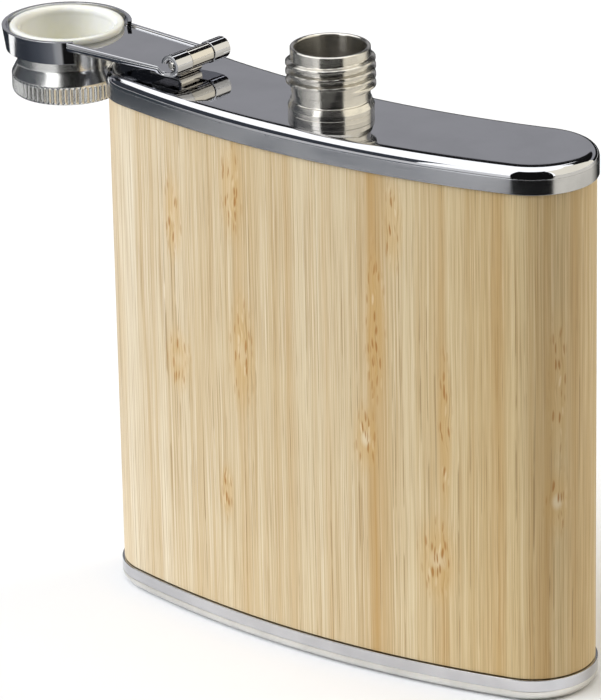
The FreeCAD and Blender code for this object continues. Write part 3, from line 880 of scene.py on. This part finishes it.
def liner_shape(r, z, a):
    """Adds the inner thread to the rows of the liner's bore."""
    radius = np.full(len(a), r)
    if r < BORE_R - 0.01 * MM or r > THROAT_R or z < -SEAL_DEPTH:
        return radius
    unwound = (CAP_THREAD_ANGLE - a) / (2 * math.pi)
    turn = np.round((-z - CAP_THREAD_DEPTH) / PITCH - unwound)
    along = unwound + turn
    lift = ridge((-z - CAP_THREAD_DEPTH - PITCH * along) * CAP_THREAD_SLIM, along, CAP_THREAD_TURNS)
    return radius - CAP_THREAD_LIFT * lift


def liner():
    """Plastic cup with a flared mouth, a flange and one inner thread."""
    side, bottom = LINER_R - LINER_GAP, -SEAL_DEPTH - SEAL_T
    profile = rounded([
        (0, -LINER_DEPTH, 0), (side, -LINER_DEPTH, 0.3 * MM),
        (side, -LINER_FLANGE_T, 0), (LINER_FLANGE_R, -LINER_FLANGE_T, 0.12 * MM),
        (LINER_FLANGE_R, 0, 0.4 * MM), (THROAT_R, 0, LINER_LIP_ROUND), (THROAT_R, -THROAT_DEPTH, 0.6 * MM),
        (BORE_R, -TAPER_DEPTH, 0.3 * MM), (BORE_R, bottom, 0), (0, bottom, 0),
    ], 8)
    profile = dense(profile, 0.1 * MM, -9.0 * MM, -4.5 * MM)
    profile = dense(profile, 0.1 * MM, bottom, -5.0 * MM)
    return lathe(profile, 160, liner_shape)


def seal():
    """Soft disc in the bottom of the liner."""
    edge, bottom = BORE_R - 0.05 * MM, -SEAL_DEPTH - SEAL_T
    profile = rounded([
        (0, bottom, 0), (edge, bottom, 0.05 * MM), (edge, -SEAL_DEPTH, 0.15 * MM), (0, -SEAL_DEPTH, 0),
    ])
    return lathe(profile, 96)


def washer():
    """Thin ring between the liner's flange and the arm's eye."""
    high = -LINER_FLANGE_T - WASHER_GAP
    low, edge = high - WASHER_T, 0.04 * MM
    profile = rounded([
        (WASHER_IN, low, edge), (WASHER_OUT, low, edge), (WASHER_OUT, high, edge), (WASHER_IN, high, edge),
    ])
    return lathe(profile, 96)


def knurl(r, z, a):
    """Cuts the rim's fine upright teeth, fading in just below its shoulder."""
    depth = TOOTH_DEPTH * min(1.0, max(0.0, (-z - TOOTH_START) / TOOTH_FADE))
    if r < CAP_RIM_R - 3 * TOOTH_DEPTH or depth == 0:
        return np.full(len(a), r)
    wave = 0.5 - 0.5 * np.cos(a * TEETH)
    return np.minimum(r, CAP_RIM_R - depth * wave ** 0.8)


def cap_shell():
    """Metal cap: plain neck, cove, knurled rim and a slightly sunk end."""
    end = -CAP_DEPTH
    profile = rounded([
        (LINER_R, -LINER_FLANGE_T, 0), (CAP_NECK_R, -LINER_FLANGE_T, 0.08 * MM),
        (CAP_NECK_R, -COVE_DEPTH, COVE_ROUND), (CAP_RIM_R, -RIM_DEPTH, 0.45 * MM),
        (CAP_RIM_R, end, 0.9 * MM), (DISC_R, end, 0.4 * MM), (DISC_R - DISC_SLOPE, end + DISC_SUNK, 0.4 * MM),
        (0, end + DISC_SUNK, 0), (0, -LINER_DEPTH, 0), (LINER_R, -LINER_DEPTH, 0),
    ], 10)
    profile = dense(profile, 0.12 * MM, -9.4 * MM, -8.4 * MM)
    return lathe(profile, TEETH * TOOTH_SAMPLES, knurl)


# ---------------------------------------------------------------- put the pieces on their bodies

def carry(name, made, slot, body, replaces, place=None):
    verts, faces, *uvs = made
    return add_mesh(name, verts, faces, LOOK[slot], body, replaces, uvs[0] if uvs else None, place)


carry("tank_and_rims", tank_wall(), "polished_steel", "flask", ["body_shell"])
carry("lid", lid(), "mirror_steel", "flask", ["top_plate"])
carry("base", base(), "satin_steel", "flask", ["bottom_plate"])
carry("bamboo_jacket", jacket(), "bamboo", "flask", ["bamboo_wrap"])
carry("threaded_neck", neck(), "neck_steel", "flask", ["neck"])
carry("bracket", bracket(), "hinge_steel", "flask", ["hinge_bracket"], HINGE_FRAME)
carry("pin", pin(), "hinge_steel", "flask", ["hinge_pin"], HINGE_FRAME)
carry("arm_plate", arm(), "arm_steel", "arm", ["cap_arm"], HINGE_FRAME)
for side, label in ((-1, "rear"), (1, "front")):
    carry(f"knuckle_{label}", knuckle(side), "arm_steel", "arm", ["cap_arm"], HINGE_FRAME)
carry("collar", collar(), "arm_steel", "arm", ["collar_band"], CAP_FRAME)
carry("washer", washer(), "washer_plastic", "washer", ["slip_washer"], CAP_FRAME)
carry("cap", cap_shell(), "cap_chrome", "screw_cap", ["cap_shell"], CAP_FRAME)
carry("liner", liner(), "cream_plastic", "screw_cap", ["cap_liner"], CAP_FRAME)
carry("seal", seal(), "seal_rubber", "screw_cap", ["cap_seal"], CAP_FRAME)

film = frame["nodes"]["adhesive_film"]
film.data.materials.clear()
film.data.materials.append(LOOK["adhesive"])

# ---------------------------------------------------------------- floor, light and camera

AZIMUTH = math.radians(36.218)
ELEVATION = math.radians(22.146)
ROLL = math.radians(-1.082)
AIM = Vector((-2.411, -1.767, 52.394)) * MM
DISTANCE = 837.15 * MM
LENS = 261.07
SHIFT = (-0.0240, -0.0079)

EYE_LEVEL = 95 * MM
FLOOR_HALF = 3.0
AMBIENT = 0.16
COOL_DARK = (0.055, 0.062, 0.075)
BLACK = (0.01, 0.01, 0.01)
VELVET = (0.008, 0.008, 0.008)
WALL_STEPS = 40
SKY_STEPS = 72
# flats: radius in metres, bearings and elevations in degrees, colour, steps. Bearings start at the camera's.
WALLS = {
    "sky": (2.0, (-180, 180), (0, 89.5), (1.75, 1.75, 1.75), SKY_STEPS),
    "rear_dark": (1.3, (122, 238), (-2, 38), (0.015, 0.015, 0.016)),
    "rear_grey": (1.2, (122, 238), (12.5, 23.5), (0.38, 0.38, 0.4)),
    "left_dark": (1.3, (-126, -52), (0, 34), COOL_DARK),
    "rear_card": (1.0, (117, 160), (25, 52), BLACK),
    "camera_side": (0.26, (-31, 35), (-20, 40), VELVET),
    "camera_above": (0.26, (-31, 35), (40, 62), VELVET),
    "right_warm": (1.3, (36, 122), (0, 62), (1.2, 1.13, 0.96)),
}
# lights: bearing, elevation, strength, spread in degrees, colour
SUNS = {
    "key": (-84, 32, 0.74, 50, (0.95, 1.0, 1.12)),
    "top": (-60, 80, 0.47, 60, (1.02, 1.0, 0.94)),
    "rim": (105, 28, 0.28, 40, (1.1, 1.0, 0.85)),
}
FAR_EDGE = (0.262, 0.275)        # distances between which the near apron gives way to the far one
NEAR_APRON = [
    (-130, (0.035, 0.04, 0.05)), (-95, (0.045, 0.052, 0.066)), (-72, (0.09, 0.1, 0.12)),
    (-50, (0.2, 0.21, 0.23)), (-44, (0.4, 0.41, 0.42)), (-34, (0.45, 0.45, 0.45)), (-30, BLACK),
    (34, BLACK), (38, (0.7, 0.67, 0.59)), (110, (0.7, 0.67, 0.59)), (135, (0.02, 0.02, 0.02)),
]
FAR_APRON = [
    (-130, (0.035, 0.04, 0.05)), (-95, (0.06, 0.07, 0.08)), (-80, (0.6, 0.6, 0.6)), (-34, (1.0, 1.0, 1.0)),
    (-30, BLACK), (34, BLACK), (38, (0.9, 0.86, 0.76)), (110, (0.9, 0.86, 0.76)), (135, (0.02, 0.02, 0.02)),
]
APRON_INNER = (0.085, 0.05)      # half width and half depth
APRON_OUTER = (1.5, 1.5)
APRON_HEIGHT = 1.0 * MM
CAP_APRON = (0.187, 0.207)       # a narrow bright ring about the open cap, for its knurl
CAP_APRON_HEIGHT = 1.5 * MM
CAP_APRON_LIGHT = (1.6, 1.6, 1.55, 1.0)


def camera():
    back = Vector((math.sin(AZIMUTH) * math.cos(ELEVATION), -math.cos(AZIMUTH) * math.cos(ELEVATION),
                   math.sin(ELEVATION)))
    right = Vector((math.cos(AZIMUTH), math.sin(AZIMUTH), 0))
    up = back.cross(right)
    level = Matrix((right, up, back)).transposed()
    data = bpy.data.cameras.new("camera")
    data.lens = LENS
    data.sensor_width = 36.0
    data.shift_x, data.shift_y = SHIFT
    data.clip_start, data.clip_end = 0.01, 50.0
    made = bpy.data.objects.new("camera", data)
    turned = level @ Matrix.Rotation(ROLL, 3, "Z")
    made.matrix_world = Matrix.Translation(AIM + back * DISTANCE) @ turned.to_4x4()
    bpy.context.scene.collection.objects.link(made)
    bpy.context.scene.camera = made


def stage_piece(name, verts, faces, material):
    mesh = bpy.data.meshes.new(name)
    mesh.from_pydata([tuple(v) for v in verts], [], faces)
    mesh.materials.append(material)
    made = bpy.data.objects.new(name, mesh)
    bpy.context.scene.collection.objects.link(made)
    return made


def only_mirrored(piece):
    """Studio flats show in polished surfaces, and neither light the set nor hide it."""
    piece.visible_camera = False
    piece.visible_diffuse = False
    piece.visible_shadow = False
    piece.visible_transmission = False
    piece.visible_volume_scatter = False
    return piece


def glow(s, colour):
    """A matt surface that gives off light of a colour, or of a socket's colours."""
    s.set(Base_Color=(0, 0, 0, 1), Emission_Color=colour, Emission_Strength=1.0, Roughness=1.0,
          Specular_IOR_Level=0.0)
    return s.material


def wall(name, radius, bearings, elevations, colour, steps=WALL_STEPS):
    """An upright curved flat between two bearings and two elevations."""
    a = AZIMUTH - QUARTER + np.radians(np.linspace(*bearings, steps))
    rows = []
    for elevation in elevations:
        height = EYE_LEVEL + radius * math.tan(math.radians(elevation))
        rows.append(np.column_stack([radius * np.cos(a), radius * np.sin(a), np.full(steps, height)]))
    verts, faces = skin(rows, close_columns=False)
    return only_mirrored(stage_piece(name, verts, faces, glow(Shader(name), colour + (1.0,))))


def bearing_ramp(s, stops):
    """Colours round the flask, by bearing in degrees from the camera's."""
    angle = s.node("TexGradient", gradient_type="RADIAL")
    s.feed(angle.inputs[0], s.place())
    ramp = s.node("ValToRGB")
    s.feed(ramp.inputs[0], angle.outputs[1])
    made = ramp.color_ramp.elements
    made.remove(made[1])
    for i, (bearing, colour) in enumerate(stops):
        place = ((AZIMUTH - QUARTER + math.radians(bearing)) / (2 * math.pi) + 0.5) % 1
        stop = made[0] if i == 0 else made.new(place)
        stop.position = place
        stop.color = colour + (1.0,)
    return ramp.outputs[0]


def floor_ring(name, centre, inner, outer, height, material):
    """A flat ring just over the floor, only seen mirrored. inner and outer give half width and half depth."""
    rows = [circle(1.0, height, 72) * np.array([across, deep, 1.0]) for across, deep in (inner, outer)]
    verts, faces = skin(rows)
    made = only_mirrored(stage_piece(name, verts, faces, material))
    made.location = (centre[0], centre[1], 0)


def aprons():
    """What the upright steel mirrors: floor that is dark near the flask and changes with bearing far out."""
    s = Shader("apron")
    far = s.range(s.vector("LENGTH", s.place()), *FAR_EDGE)
    tone = s.mix(far, bearing_ramp(s, NEAR_APRON), bearing_ramp(s, FAR_APRON))
    floor_ring("apron", (0, 0), APRON_INNER, APRON_OUTER, APRON_HEIGHT, glow(s, tone))
    inner, outer = CAP_APRON
    floor_ring("cap_apron", CAP, (inner, inner), (outer, outer), CAP_APRON_HEIGHT,
               glow(Shader("cap_apron"), CAP_APRON_LIGHT))


def floor():
    s = Shader("floor")
    tone = s.mix(s.noise(s.place(), scale=3.0), rgb(250, 250, 250), rgb(247, 247, 247))
    s.set(Base_Color=tone, Roughness=0.7, Specular_IOR_Level=0.1)
    h = FLOOR_HALF
    made = stage_piece("floor", [(-h, -h, 0), (h, -h, 0), (h, h, 0), (-h, h, 0)], [(0, 1, 2, 3)], s.material)
    made.rotation_euler.z = math.pi     # chooses the part of the cloud that lies under the flask


def sun(name, bearing, elevation, strength, spread, colour):
    """Soft light, unseen in reflections; strength 1 lights a facing white surface fully."""
    data = bpy.data.lights.new(name, "SUN")
    data.energy = strength * math.pi
    data.angle = math.radians(spread)
    data.color = colour
    made = bpy.data.objects.new(name, data)
    a, e = AZIMUTH - QUARTER + math.radians(bearing), math.radians(elevation)
    towards = Vector((math.cos(a) * math.cos(e), math.sin(a) * math.cos(e), math.sin(e)))
    made.rotation_mode = "QUATERNION"
    made.rotation_quaternion = towards.to_track_quat("Z", "Y")
    made.visible_glossy = False
    bpy.context.scene.collection.objects.link(made)


def surroundings():
    world = bpy.data.worlds.new("studio")
    world.use_nodes = True
    world.node_tree.nodes["Background"].inputs[0].default_value = (1.0, 1.0, 1.0, 1.0)
    world.node_tree.nodes["Background"].inputs[1].default_value = AMBIENT
    bpy.context.scene.world = world
    floor()
    aprons()
    walls = {name: wall(name, *shape) for name, shape in WALLS.items()}
    walls["camera_side"].visible_diffuse = True
    for name, light in SUNS.items():
        sun(name, *light)


camera()
surroundings()
bpy.context.scene.view_settings.view_transform = "Standard"
